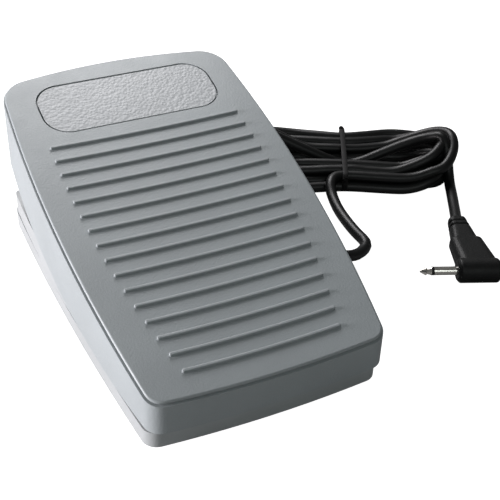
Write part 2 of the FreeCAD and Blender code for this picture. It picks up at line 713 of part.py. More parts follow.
base_holes.append(cylinder("glandCollar + 0.1", "10", ("wallOut", "glandY", "glandHeight"), "x"))
feet_spots = [("footNearX", "footNearY"), ("-footNearX", "footNearY"),
              ("footFarX", "footFarY"), ("-footFarX", "footFarY")]
for x, y in feet_spots:
    base_holes.append(cylinder("footRadius + 0.1", "footRecess + 2", (x, y, "footProud - 2")))
node("base_tray", cut(fuse(base_shell, *base_add), *base_holes))

for name, (x, y) in zip(("front_right", "front_left", "rear_right", "rear_left"), feet_spots):
    node("rubber_foot_" + name, cylinder("footRadius", "footProud + footRecess", (x, y, "0")))
node("blank_plate", box(("plateLength", "plateWidth", "plateThick"),
                        ("-plateLength / 2", "-plateWidth / 2", "footProud - plateThick")))

# ---- hinge ----------------------------------------------------------------------------------

node("hinge_rod", cylinder("rodDiameter / 2", "rodLength", ("-rodLength / 2", "axisY", "axisHeight"), "x"))
for name, side_x in (("right", "baseEarX + baseEarWidth + 0.2"),
                     ("left", "-baseEarX - baseEarWidth - 0.2 - clipWidth")):
    disc = cylinder("clipRadius", "clipWidth", (side_x, "axisY", "axisHeight"), "x")
    hole = cylinder("rodDiameter / 2", "clipWidth + 2", ("%s - 1" % side_x, "axisY", "axisHeight"), "x")
    mouth = box(("clipWidth + 2", "rodDiameter * 0.8", "clipRadius + 1"),
                ("%s - 1" % side_x, "axisY - rodDiameter * 0.4", "axisHeight"))
    node("hinge_clip_" + name, cut(disc, hole, mouth))

# ---- return spring --------------------------------------------------------------------------

spring_body = doc.addObject("PartDesign::Body", "SpringBody")
wire_sketch = sketch_on(spring_body, "XZ_Plane")
wire_sketch.addGeometry(Part.Circle(Vector(worth("springRadius"), 0, 0), Vector(0, 0, 1),
                                    worth("wireDiameter / 2")), False)
constrain(wire_sketch, "Radius", 0, formula="wireDiameter / 2")
constrain(wire_sketch, "DistanceX", -1, 1, 0, 3, formula="springRadius")
wire_sketch.addConstraint(Sketcher.Constraint("PointOnObject", 0, 3, -1))
coil = spring_body.newObject("PartDesign::AdditiveHelix", "Coil")
coil.Profile = wire_sketch
coil.ReferenceAxis = (wire_sketch, ["V_Axis"])
coil.Mode = "height-turns-growth"
SPRING_LOW = "%s + wireDiameter / 2 + seatGap" % FLOOR_TOP
bind(coil, {
    "Height": "springTop - wireDiameter - 2 * seatGap - (%s)" % FLOOR_TOP,
    "Turns": "springTurns",
})
move(spring_body, ("0", "springY", SPRING_LOW))
node("return_spring", spring_body)

# ---- stops ----------------------------------------------------------------------------------

for name, side_x in (("right", "bumpX"), ("left", "-bumpX")):
    node("bump_stop_" + name, fuse(
        cylinder("bumpRadius", "bumpHeight - 1.5", (side_x, "bumpY", FLOOR_TOP)),
        cone("bumpRadius", "bumpRadius - 1.5", "1.5",
             (side_x, "bumpY", "%s + bumpHeight - 1.5" % FLOOR_TOP))))
bar = box(("keeperLength", "keeperDepth", "keeperThick"), ("-keeperLength / 2", KEEPER_Y, "keeperHeight"))
bar_holes = [cylinder("shankRadius + screwGap", "keeperThick + 2", (x, y, "keeperHeight - 1"))
             for x, y in keeper_spots]
node("keeper_bar", cut(bar, *bar_holes))
KEEPER_SEAT = "keeperHeight + keeperThick"
node("keeper_screws", group(*[screw(x, y, KEEPER_SEAT, "shankLength + keeperThick")
                              for x, y in keeper_spots]))

plate = box(("ballastLength", "ballastWidth", "ballastThick"), ("-ballastLength / 2", "ballastY", FLOOR_TOP))
plate_holes = [cylinder("bossRadius + screwGap", "ballastThick + 2", (x, y, "%s - 1" % FLOOR_TOP))
               for x, y in ballast_spots]
node("ballast_plate", cut(plate, *plate_holes))
ballast_screws = []
for x, y in ballast_spots:
    washer = cylinder("bossRadius * 1.6", "0.8", (x, y, BALLAST_TOP))
    ballast_screws.append(fuse(washer, screw(x, y, "%s + 0.8" % BALLAST_TOP, "ballastThick + 0.8")))
node("ballast_screws", group(*ballast_screws))

# ---- switch ---------------------------------------------------------------------------------

case = box(("switchWidth", "switchLength", "switchHeight"), ("switchX", "switchNear", "switchBottom"))
LEVER_Z = "%s + leverRise" % SWITCH_TOP
pivot_ears = [box(("0.6", "2.4", "pivotEar"), (x, "leverY - 1.2", SWITCH_TOP))
              for x in ("switchX", "switchX + switchWidth - 0.6")]
pivot_hole = cylinder("pivotRadius + runningGap", "switchWidth + 2", ("switchX - 1", "leverY", LEVER_Z), "x")
button_hole = cylinder("plungerRadius + runningGap", "plungerRoom + 2",
                       (SWITCH_MID, "plungerY", "%s - plungerRoom" % SWITCH_TOP))
MOUNT_Z = "switchBottom + 2.6"
mount_ys = ["%s - mountSpan / 2" % SWITCH_MID_Y, "%s + mountSpan / 2" % SWITCH_MID_Y]
case_holes = [cylinder("mountRadius", "switchWidth + 2", ("switchX - 1", y, MOUNT_Z), "x")
              for y in mount_ys]
node("switch_case", cut(fuse(case, *pivot_ears), pivot_hole, button_hole, *case_holes))
node("switch_button", cylinder("plungerRadius", "plungerLength",
                               (SWITCH_MID, "plungerY", "%s + plungerProud - plungerLength" % SWITCH_TOP)))

strip = doc.addObject("Part::Box", "LeverStrip")
bind(strip, {"Length": "leverWidth", "Width": "leverLength", "Height": "leverThick"})
strip.Placement = Placement(Vector(), Rotation(Vector(1, 0, 0), worth("leverAngle")))
move(strip, ("%s - leverWidth / 2" % SWITCH_MID,
             "leverY + leverThick / 2 * sin(leverAngle)",
             "%s - leverThick / 2 * cos(leverAngle)" % LEVER_Z))
pivot = cylinder("pivotRadius", "switchWidth + 0.6", ("switchX - 0.3", "leverY", LEVER_Z), "x")
node("switch_lever", fuse(strip, pivot))

tags = [box(("terminalWidth", "terminalThick", "terminalLength"),
            ("%s - terminalWidth / 2" % SWITCH_MID,
             "%s + (%d) * terminalPitch - terminalThick / 2" % (SWITCH_MID_Y, k),
             "switchBottom - terminalLength"))
        for k in (-1, 0, 1)]
node("switch_tags", group(*tags))

wall = box(("bracketThick", "switchLength", "bracketHeight"),
           ("switchX - bracketThick", "switchNear", BRACKET_Z))
foot = box(("bracketFoot", "16", "bracketThick"), (BRACKET_X, "%s - 8" % SWITCH_MID_Y, BRACKET_Z))
foot_holes = [cylinder("shankRadius + screwGap", "bracketThick + 2", (x, y, "%s - 1" % BRACKET_Z))
              for x, y in bracket_spots]
wall_holes = [cylinder("mountRadius", "bracketThick + 2", ("switchX - bracketThick - 1", y, MOUNT_Z), "x")
              for y in mount_ys]
node("switch_bracket", cut(fuse(wall, foot), *foot_holes, *wall_holes))
BRACKET_SEAT = "%s + bracketThick" % BRACKET_Z
node("bracket_screws", group(*[screw(x, y, BRACKET_SEAT, "bracketRise + bracketThick")
                               for x, y in bracket_spots]))
switch_screws = []
for y in mount_ys:
    head = cylinder("mountRadius * 1.9", "1.4", ("switchX + switchWidth", y, MOUNT_Z), "x")
    shank = cylinder("mountRadius", "switchWidth + bracketThick + 1.8",
                     ("switchX - bracketThick - 1.8", y, MOUNT_Z), "x")
    nut = cut(cylinder("mountRadius * 2", "1.4", ("switchX - bracketThick - 1.4", y, MOUNT_Z), "x"),
              cylinder("mountRadius", "4", ("switchX - bracketThick - 3", y, MOUNT_Z), "x"))
    switch_screws.append(fuse(head, shank, nut))
node("switch_screws", group(*switch_screws))

# ---- cords ----------------------------------------------------------------------------------


def cord_path(points):
    """Straight runs joined by the largest tangent arcs that the runs allow; prints the radii."""
    spots = [Vector(*p) for p in points]
    edges = []
    radii = []
    start = spots[0]
    for before, here, after in zip(spots, spots[1:], spots[2:]):
        back = before - here
        ahead = after - here
        reach = 0.45 * min(back.Length, ahead.Length)
        back.normalize()
        ahead.normalize()
        turn = math.pi - back.getAngle(ahead)
        radius = reach / math.tan(turn / 2)
        radii.append(round(radius, 1))
        entry = here + back * reach
        leave = here + ahead * reach
        inward = back + ahead
        inward.normalize()
        middle = here + inward * (radius / math.cos(turn / 2) - radius)
        edges.append(Part.LineSegment(start, entry).toShape())
        edges.append(Part.Arc(entry, middle, leave).toShape())
        start = leave
    edges.append(Part.LineSegment(start, spots[-1]).toShape())
    return Part.Wire(edges), radii


def tube(label, points, diameter):
    path, radii = cord_path(points)
    first = Vector(*points[0])
    ring = Part.Wire([Part.Circle(first, Vector(*points[1]) - first, diameter / 2).toShape()])
    sweep = path.makePipeShell([ring], True, False)
    section = math.pi * diameter ** 2 / 4
    print("%s: length %.1f, volume ratio %.4f, radii %s"
          % (label, path.Length, sweep.Volume / (section * path.Length), radii))
    return node(label, feature(sweep))


cord_d = worth("cordDiameter")
lie = cord_d / 2 + 0.1
gland_y = worth("glandY")
gland_z = worth("glandHeight")
plug_turn = Rotation(Vector(0, 0, 1), worth("plugAngle"))
plug_root = Vector(worth("plugX"), worth("plugY"), worth("plugHeight"))
entry = plug_root + plug_turn.multVec(Vector(worth("entryX"), -worth("neckEnd"), 0))

lead_points = [
    (worth("glandEnd"), gland_y, gland_z),
    (67.0, -12.2, 5.4),
    (75.0, -9.4, 2.8),
    (81.9, -4.4, lie),
    (81.4, 4.2, lie),
    (81.9, 13.0, lie),
    (83.3, 24.0, lie),
    (85.6, 34.0, lie),
    (88.6, 39.6, 3.1),
]
tube("cord_lead", lead_points, cord_d)

tail_points = [
    (143.6, 29.8, 4.6),
    (141.2, 23.4, 2.9),
    (137.2, 15.4, lie),
    (130.6, 3.8, 3.0),
    (entry.x, entry.y, entry.z),
]
tube("cord_tail", tail_points, cord_d)

# the gland: a collar each side of the wall, and a tapering sleeve outside
GLAND_IN = "wallOut - baseWall - collarThick"
GLAND_OUT = "wallOut + collarThick"
node("gland", fuse(
    cylinder("glandCollar", "collarThick", (GLAND_IN, "glandY", "glandHeight"), "x"),
    cylinder("glandNeck", "baseWall + 0.4", ("wallOut - baseWall - 0.2", "glandY", "glandHeight"), "x"),
    cylinder("glandCollar", "collarThick", ("wallOut", "glandY", "glandHeight"), "x"),
    cone("glandCollar - 0.6", "glandTip", "glandReach - collarThick",
         (GLAND_OUT, "glandY", "glandHeight"), "x")))
node("cord_inner", cylinder("cordDiameter / 2", "%s - innerCordEnd" % GLAND_IN,
                            ("innerCordEnd", "glandY", "glandHeight"), "x"))

clamp_block = box(("clampWidth", "clampLength", "clampHeight"),
                  ("clampX - clampWidth / 2", "glandY - clampLength / 2", "glandHeight"))
clamp_groove = cylinder("cordDiameter / 2", "clampWidth + 2",
                        ("clampX - clampWidth / 2 - 1", "glandY", "glandHeight"), "x")
clamp_holes = [cylinder("shankRadius + screwGap", "clampHeight + 2", (x, y, "glandHeight - 1"))
               for x, y in clamp_spots]
node("cord_clamp", cut(clamp_block, clamp_groove, *clamp_holes))
node("clamp_screws", group(*[screw(x, y, "glandHeight + clampHeight", "clampHeight + %s" % CLAMP_DEPTH)
                             for x, y in clamp_spots]))

wire_start = worth("innerCordEnd")
wire_side = worth("leadSpread")
tag_x = worth("%s + terminalWidth / 2" % SWITCH_MID)
tag_mid = worth(SWITCH_MID_Y)
tag_z = worth("switchBottom - 2")
for name, way, tag_y in (("a", 1, tag_mid + worth("terminalPitch")), ("b", -1, tag_mid)):
    y = gland_y + way * wire_side
    tube("wire_" + name, [
        (wire_start, y, gland_z),
        (wire_start - 3.2, y + way * 2.0, gland_z - 0.8),
        (tag_x + 3.2, tag_y + (1.2 if way > 0 else -0.6), tag_z),
        (tag_x, tag_y, tag_z),
    ], worth("leadDiameter"))


def hank_block():
    """The outer shape of the tied turns, waisted where the tie holds them."""
    outline = [
        (79, 40), (94, 37), (110, 28.5), (129, 24), (147.5, 31.5), (158.5, 46), (162.5, 59), (158, 70),
        (140, 74.5), (114, 77), (100, 87), (84, 97), (70, 99), (60, 88), (57, 70), (61, 50),
    ]
    curve = Part.BSplineCurve()
    curve.interpolate([Vector(x, y, 0) for x, y in outline], PeriodicFlag=True)
    height = worth("hankHeight")
    block = Part.Face(Part.Wire(curve.toShape())).extrude(Vector(0, 0, height))
    thick = worth("tieThick")
    band = worth("tieWidth") + 0.2
    half = worth("tieHalf")
    outer = Part.makeBox(band, 80, height + 2, Vector(-band / 2, -40, -1))
    held = Part.makeBox(band, 2 * half, worth("tieHeight") - 2 * thick, Vector(-band / 2, -half, thick))
    waist = outer.cut(held)
    waist.Placement = tie_place
    return block.cut(waist)


tie_place = Placement(Vector(worth("tieX"), worth("tieY"), 0),
                      Rotation(Vector(0, 0, 1), worth("hankAngle")))
node("cord_hank", feature(hank_block()))
tie_outer = box(("tieWidth", "2 * (tieHalf + tieThick)", "tieHeight"),
                ("-tieWidth / 2", "-tieHalf - tieThick", "0"))
tie_inner = box(("tieWidth + 2", "2 * tieHalf", "tieHeight - 2 * tieThick"),
                ("-tieWidth / 2 - 1", "-tieHalf", "tieThick"))
tie = cut(tie_outer, tie_inner)
tie.Placement = tie_place
node("hank_tie", tie)

# ---- plug: the pin points along local +X, the cord enters along local +Y from the far side ---


def at_plug(along, across="0"):
    """A spot on the pin's level, in the plug's own directions."""
    return ("plugX + (%s) * cos(plugAngle) - (%s) * sin(plugAngle)" % (along, across),
            "plugY + (%s) * sin(plugAngle) + (%s) * cos(plugAngle)" % (along, across),
            "plugHeight")


def on_pin(obj, along):
    """Lay an upright round primitive along the pin line."""
    obj.Placement = Placement(Vector(), plug_turn * TURNS["x"])
    return move(obj, at_plug(along))


sleeve = on_pin(cylinder("pinRadius", "sleeveLength", ("0", "0", "0")), "0")
node("plug_sleeve", sleeve)
ring = on_pin(cylinder("pinRadius", "ringLength", ("0", "0", "0")), "sleeveLength")
node("plug_ring", ring)
TIP = "sleeveLength + ringLength"
node("plug_tip", fuse(
    on_pin(cone("pinRadius", "pinRadius * 0.7", "tipLength * 0.35", ("0", "0", "0")), TIP),
    on_pin(cone("pinRadius * 0.7", "pinRadius", "tipLength * 0.15", ("0", "0", "0")),
           TIP + " + tipLength * 0.35"),
    on_pin(cone("pinRadius", "pinRadius * 0.3", "tipLength * 0.5", ("0", "0", "0")),
           TIP + " + tipLength * 0.5")))


def rounded_section(across, thick, y, middle):
    """A rounded oblong wire across the neck."""
    r = thick * 0.38
    w = across / 2
    t = thick / 2
    flat = Part.makePlane(thick, across, Vector(middle - w, y, -t), Vector(0, 1, 0), Vector(0, 0, 1))
    block = flat.extrude(Vector(0, 1, 0))
    long_edges = [e for e in block.Edges if abs(e.tangentAt(e.FirstParameter).y) > 0.9]
    rounded = block.makeFillet(r, long_edges)
    return [f for f in rounded.Faces if abs(f.CenterOfMass.y - y) < 1e-6][0].OuterWire


def plug_neck():
    """The tapering neck, stepped half way, with two grooves near the cord."""
    body_x = -worth("barrelLength") / 2 - 0.3
    step = worth("neckStep")
    end = worth("neckEnd")
    x = worth("entryX")
    wide = worth("neckWide")
    narrow = worth("neckNarrow")
    thick = worth("neckThick")
    thin = worth("neckThin")
    shoulder = Part.makeLoft([
        rounded_section(wide, thick, -2, body_x),
        rounded_section(wide * 0.84, thick * 0.82, -step, x - 0.2),
    ], True)
    sleeve_part = Part.makeLoft([
        rounded_section(wide * 0.70, thick * 0.74, -step + 1, x),
        rounded_section(narrow, thin, -end, x),
    ], True)
    neck = shoulder.fuse(sleeve_part)
    for k in (0, 1):
        slot = Part.makeBox(wide, 1.0, thick, Vector(x - wide / 2, -end + 2.6 + 2.8 * k, -thick / 2))
        core = Part.makeBox(narrow * 0.72, 1.4, thin * 0.8,
                            Vector(x - narrow * 0.36, -end + 2.4 + 2.8 * k, -thin * 0.4))
        neck = neck.cut(slot.cut(core))
    return neck


neck = feature(plug_neck())
neck.Placement = Placement(plug_root, plug_turn)
node("plug_body", fuse(
    on_pin(cylinder("barrelRadius", "barrelLength - 2 * barrelBevel", ("0", "0", "0")),
           "barrelBevel - barrelLength"),
    on_pin(cone("barrelRadius", "barrelRadius - barrelBevel", "barrelBevel", ("0", "0", "0")),
           "-barrelBevel"),
    on_pin(cone("barrelRadius - barrelBevel", "barrelRadius", "barrelBevel", ("0", "0", "0")),
           "-barrelLength"),
    neck))

# ---- write the pieces -----------------------------------------------------------------------

doc.recompute()
broken = [obj.Name for obj in doc.Objects if {"Invalid", "Error"} & set(obj.State)]
assert not broken, broken
os.makedirs("parts", exist_ok=True)
for label, obj in NODES.items():
    shape = obj.Shape
    assert not shape.isNull() and shape.isValid() and shape.Volume > 0, label
    shape.exportStep("parts/%s.step" % label)
print("%d pieces written" % len(NODES))
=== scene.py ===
import math

import bpy
from mathutils import Matrix, Vector


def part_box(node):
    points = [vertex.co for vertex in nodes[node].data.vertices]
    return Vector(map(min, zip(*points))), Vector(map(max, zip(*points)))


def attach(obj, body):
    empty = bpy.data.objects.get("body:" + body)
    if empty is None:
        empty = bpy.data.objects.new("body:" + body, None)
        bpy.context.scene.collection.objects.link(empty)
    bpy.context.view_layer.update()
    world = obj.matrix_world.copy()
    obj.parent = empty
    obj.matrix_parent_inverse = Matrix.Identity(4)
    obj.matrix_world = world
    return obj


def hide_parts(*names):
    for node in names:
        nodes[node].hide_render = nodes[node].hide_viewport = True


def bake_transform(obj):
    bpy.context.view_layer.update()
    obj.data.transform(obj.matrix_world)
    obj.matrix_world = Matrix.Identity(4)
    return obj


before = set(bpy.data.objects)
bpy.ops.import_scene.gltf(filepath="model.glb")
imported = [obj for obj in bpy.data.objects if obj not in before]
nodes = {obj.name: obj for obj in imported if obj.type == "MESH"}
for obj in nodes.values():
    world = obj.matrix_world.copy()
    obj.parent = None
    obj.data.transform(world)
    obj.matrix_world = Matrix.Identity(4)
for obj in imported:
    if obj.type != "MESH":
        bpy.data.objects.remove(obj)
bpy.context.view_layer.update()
mm = 0.001
sharpAngle = math.radians(50)     # edges sharper than this get a bevel
smoothAngle = math.radians(40)
weldDistance = 0.02 * mm
bpy.ops.object.select_all(action="DESELECT")
print("frame loaded")


camera = {
    "place": (-0.1247, -0.3039, 0.2555),
    "right": (0.9011, -0.4327, 0.0288),
    "up": (0.2310, 0.5352, 0.8125),
    "lens": 76.1,
    "sensor": 36,
    "nearClip": 0.01,
}


def addCamera():
    data = bpy.data.cameras.new("viewCamera")
    data.lens = camera["lens"]
    data.sensor_width = camera["sensor"]
    data.clip_start = camera["nearClip"]
    obj = bpy.data.objects.new("viewCamera", data)
    right = Vector(camera["right"]).normalized()
    up = (Vector(camera["up"]) - Vector(camera["up"]).dot(right) * right).normalized()
    turn = Matrix((right, up, right.cross(up))).transposed().to_4x4()
    obj.matrix_world = Matrix.Translation(camera["place"]) @ turn
    bpy.context.collection.objects.link(obj)
    bpy.context.scene.camera = obj


studio = {
    "worldLight": 0.13,
    "sidePlace": (-0.85, 0.16, 0.20), "sideSize": 0.35, "sidePower": 18.5,
    "sideColor": (1.0, 0.945, 0.965),
    "backPlace": (0.10, 0.38, 0.36), "backSize": 0.22, "backPower": 2.3,
    "backColor": (1.0, 0.985, 1.0),
    "frontPlace": (-0.15, -0.80, 0.55), "frontSize": 0.4, "frontPower": 1.5,
    "frontColor": (0.94, 1.0, 0.985),
    "aim": (0.03, 0, 0.02),
    "paper": 0.35, "floorGlow": 1.0, "floorSize": 60,
}


def addLamp(name, place, size, power, color):
    data = bpy.data.lights.new(name, "AREA")
    data.size = size
    data.energy = power
    data.color = color
    obj = bpy.data.objects.new(name, data)
    obj.location = place
    aim = Vector(studio["aim"]) - Vector(place)
    obj.rotation_euler = aim.to_track_quat("-Z", "Y").to_euler()
    bpy.context.collection.objects.link(obj)


def addStudio():
    world = bpy.data.worlds.new("studioWorld")
    world.use_nodes = True
    world.node_tree.nodes["Background"].inputs["Color"].default_value = (1, 1, 1, 1)
    world.node_tree.nodes["Background"].inputs["Strength"].default_value = studio["worldLight"]
    bpy.context.scene.world = world
    bpy.context.scene.view_settings.view_transform = "Standard"
    for side in ("side", "back", "front"):
        addLamp(side + "Lamp", studio[side + "Place"], studio[side + "Size"],
                studio[side + "Power"], studio[side + "Color"])
    bpy.ops.mesh.primitive_plane_add(size=studio["floorSize"])
    floor = bpy.context.object
    floor.name = "studioFloor"
    material = bpy.data.materials.new("floorPaper")
    material.use_nodes = True
    tree = material.node_tree
    paper = tree.nodes["Principled BSDF"]
    paper.inputs["Base Color"].default_value = (studio["paper"],) * 3 + (1,)
    paper.inputs["Roughness"].default_value = 0.9
    paper.inputs["Specular IOR Level"].default_value = 0.1
    glow = tree.nodes.new("ShaderNodeEmission")
    glow.inputs["Strength"].default_value = studio["floorGlow"]
    seen = tree.nodes.new("ShaderNodeLightPath")
    black = tree.nodes.new("ShaderNodeEmission")
    black.inputs["Strength"].default_value = 0
    pick = tree.nodes.new("ShaderNodeMixShader")
    total = tree.nodes.new("ShaderNodeAddShader")
    tree.links.new(seen.outputs["Is Camera Ray"], pick.inputs[0])
    tree.links.new(black.outputs[0], pick.inputs[1])
    tree.links.new(glow.outputs[0], pick.inputs[2])
    tree.links.new(paper.outputs[0], total.inputs[0])
    tree.links.new(pick.outputs[0], total.inputs[1])
    tree.links.new(total.outputs[0], tree.nodes["Material Output"].inputs["Surface"])
    floor.data.materials.append(material)
    bpy.ops.object.select_all(action="DESELECT")


addCamera()
addStudio()
print("camera, floor and light set")


def groupSockets(group, direction, kinds):
    for name, kind, value in kinds:
        socket = group.interface.new_socket(name=name, in_out=direction, socket_type=kind)
        if value is not None:
            socket.default_value = value


def buildMouldedGrain():
    # spark-eroded mould grain, slight flow marks and rubbed spots; gives colour, roughness and height
    group = bpy.data.node_groups.new("mouldedGrain", "ShaderNodeTree")
    groupSockets(group, "INPUT", [
        ("Color", "NodeSocketColor", (0.5, 0.5, 0.5, 1)),
        ("Grain Scale", "NodeSocketFloat", 1500.0),
        ("Mottle", "NodeSocketFloat", 0.06),
        ("Rough", "NodeSocketFloat", 0.5),
        ("Rough Spread", "NodeSocketFloat", 0.12),
    ])
    groupSockets(group, "OUTPUT", [
        ("Color", "NodeSocketColor", None),
        ("Roughness", "NodeSocketFloat", None),
        ("Height", "NodeSocketFloat", None),
    ])
    add = group.nodes.new
    link = group.links.new
    source = add("NodeGroupInput")
    result = add("NodeGroupOutput")
    place = add("ShaderNodeTexCoord")
    grain = add("ShaderNodeTexNoise")
    grain.inputs["Detail"].default_value = 3
    grain.inputs["Roughness"].default_value = 0.6
    link(place.outputs["Object"], grain.inputs["Vector"])
    link(source.outputs["Grain Scale"], grain.inputs["Scale"])
    flow = add("ShaderNodeTexNoise")
    flow.inputs["Scale"].default_value = 28
    flow.inputs["Detail"].default_value = 4
    link(place.outputs["Object"], flow.inputs["Vector"])
    rubbed = add("ShaderNodeTexNoise")
    rubbed.inputs["Scale"].default_value = 160
    rubbed.inputs["Detail"].default_value = 5
    link(place.outputs["Object"], rubbed.inputs["Vector"])
    shade = add("ShaderNodeMapRange")
    shade.inputs["From Min"].default_value = 0.3
    shade.inputs["From Max"].default_value = 0.7
    shade.inputs["To Min"].default_value = -1
    shade.inputs["To Max"].default_value = 1
    link(flow.outputs["Fac"], shade.inputs["Value"])
    amount = add("ShaderNodeMath")
    amount.operation = "MULTIPLY_ADD"
    amount.inputs[2].default_value = 1
    link(shade.outputs[0], amount.inputs[0])
    link(source.outputs["Mottle"], amount.inputs[1])
    tint = add("ShaderNodeVectorMath")
    tint.operation = "SCALE"
    link(source.outputs["Color"], tint.inputs[0])
    link(amount.outputs[0], tint.inputs["Scale"])
    link(tint.outputs[0], result.inputs["Color"])
    spread = add("ShaderNodeMath")
    spread.operation = "MULTIPLY"
    link(rubbed.outputs["Fac"], spread.inputs[0])
    link(source.outputs["Rough Spread"], spread.inputs[1])
    rough = add("ShaderNodeMath")
    rough.operation = "ADD"
    link(spread.outputs[0], rough.inputs[0])
    link(source.outputs["Rough"], rough.inputs[1])
    link(rough.outputs[0], result.inputs["Roughness"])
    link(grain.outputs["Fac"], result.inputs["Height"])
    return group


def buildDrawnMarks():
    # fine drawing or turning lines along one direction; gives roughness and height
    group = bpy.data.node_groups.new("drawnMarks", "ShaderNodeTree")
    groupSockets(group, "INPUT", [
        ("Stretch", "NodeSocketVector", (1.0, 1.0, 1.0)),
        ("Rough", "NodeSocketFloat", 0.25),
    ])
    groupSockets(group, "OUTPUT", [
        ("Roughness", "NodeSocketFloat", None),
        ("Height", "NodeSocketFloat", None),
    ])
    add = group.nodes.new
    link = group.links.new
    source = add("NodeGroupInput")
    result = add("NodeGroupOutput")
    place = add("ShaderNodeTexCoord")
    scaled = add("ShaderNodeVectorMath")
    scaled.operation = "MULTIPLY"
    link(place.outputs["Object"], scaled.inputs[0])
    link(source.outputs["Stretch"], scaled.inputs[1])
    lines = add("ShaderNodeTexNoise")
    lines.inputs["Scale"].default_value = 900
    lines.inputs["Detail"].default_value = 4
    link(scaled.outputs[0], lines.inputs["Vector"])
    spread = add("ShaderNodeMath")
    spread.operation = "MULTIPLY_ADD"
    spread.inputs[1].default_value = 0.25
    link(lines.outputs["Fac"], spread.inputs[0])
    link(source.outputs["Rough"], spread.inputs[2])
    link(spread.outputs[0], result.inputs["Roughness"])
    link(lines.outputs["Fac"], result.inputs["Height"])
    return group


mouldedGrain = buildMouldedGrain()
drawnMarks = buildDrawnMarks()


def newMaterial(name):
    material = bpy.data.materials.new(name)
    material.use_nodes = True
    tree = material.node_tree
    return material, tree, tree.nodes["Principled BSDF"]


def placeGroup(tree, group, values):
    node = tree.nodes.new("ShaderNodeGroup")
    node.node_tree = group
    for name, value in values.items():
        node.inputs[name].default_value = value
    return node


def addBump(tree, shader, height, strength, distance):
    bump = tree.nodes.new("ShaderNodeBump")
    bump.inputs["Strength"].default_value = strength
    bump.inputs["Distance"].default_value = distance
    tree.links.new(height, bump.inputs["Height"])
    tree.links.new(bump.outputs[0], shader.inputs["Normal"])


def mouldedPlastic(name, color, rough, grainScale, bump, mottle=0.05, spread=0.12, specular=0.5):
    material, tree, shader = newMaterial(name)
    grain = placeGroup(tree, mouldedGrain, {
        "Color": color + (1,), "Grain Scale": grainScale, "Mottle": mottle,
        "Rough": rough, "Rough Spread": spread,
    })
    tree.links.new(grain.outputs["Color"], shader.inputs["Base Color"])
    tree.links.new(grain.outputs["Roughness"], shader.inputs["Roughness"])
    shader.inputs["Specular IOR Level"].default_value = specular
    addBump(tree, shader, grain.outputs["Height"], bump, 0.0004)
    return material


def drawnMetal(name, color, rough, stretch, bump):
    material, tree, shader = newMaterial(name)
    shader.inputs["Base Color"].default_value = color + (1,)
    shader.inputs["Metallic"].default_value = 1
    marks = placeGroup(tree, drawnMarks, {"Stretch": stretch, "Rough": rough})
    tree.links.new(marks.outputs["Roughness"], shader.inputs["Roughness"])
    addBump(tree, shader, marks.outputs["Height"], bump, 0.0001)
    return material


def pebbledPlastic(name, color):
    # rounded pebbles about a millimetre across over the fine grain
    material, tree, shader = newMaterial(name)
    grain = placeGroup(tree, mouldedGrain, {
        "Color": color + (1,), "Grain Scale": 1500.0, "Mottle": 0.04, "Rough": 0.45, "Rough Spread": 0.1,
    })
    place = tree.nodes.new("ShaderNodeTexCoord")
    cells = tree.nodes.new("ShaderNodeTexVoronoi")
    cells.feature = "SMOOTH_F1"
    cells.inputs["Scale"].default_value = 850
    cells.inputs["Smoothness"].default_value = 0.6
    tree.links.new(place.outputs["Object"], cells.inputs["Vector"])
    blotch = tree.nodes.new("ShaderNodeTexNoise")
    blotch.inputs["Scale"].default_value = 420
    blotch.inputs["Detail"].default_value = 3
    tree.links.new(place.outputs["Object"], blotch.inputs["Vector"])
    height = tree.nodes.new("ShaderNodeMath")
    height.operation = "SUBTRACT"
    tree.links.new(blotch.outputs["Fac"], height.inputs[0])
    tree.links.new(cells.outputs["Distance"], height.inputs[1])
    tree.links.new(grain.outputs["Color"], shader.inputs["Base Color"])
    tree.links.new(grain.outputs["Roughness"], shader.inputs["Roughness"])
    addBump(tree, shader, height.outputs[0], 0.28, 0.0005)
    return material


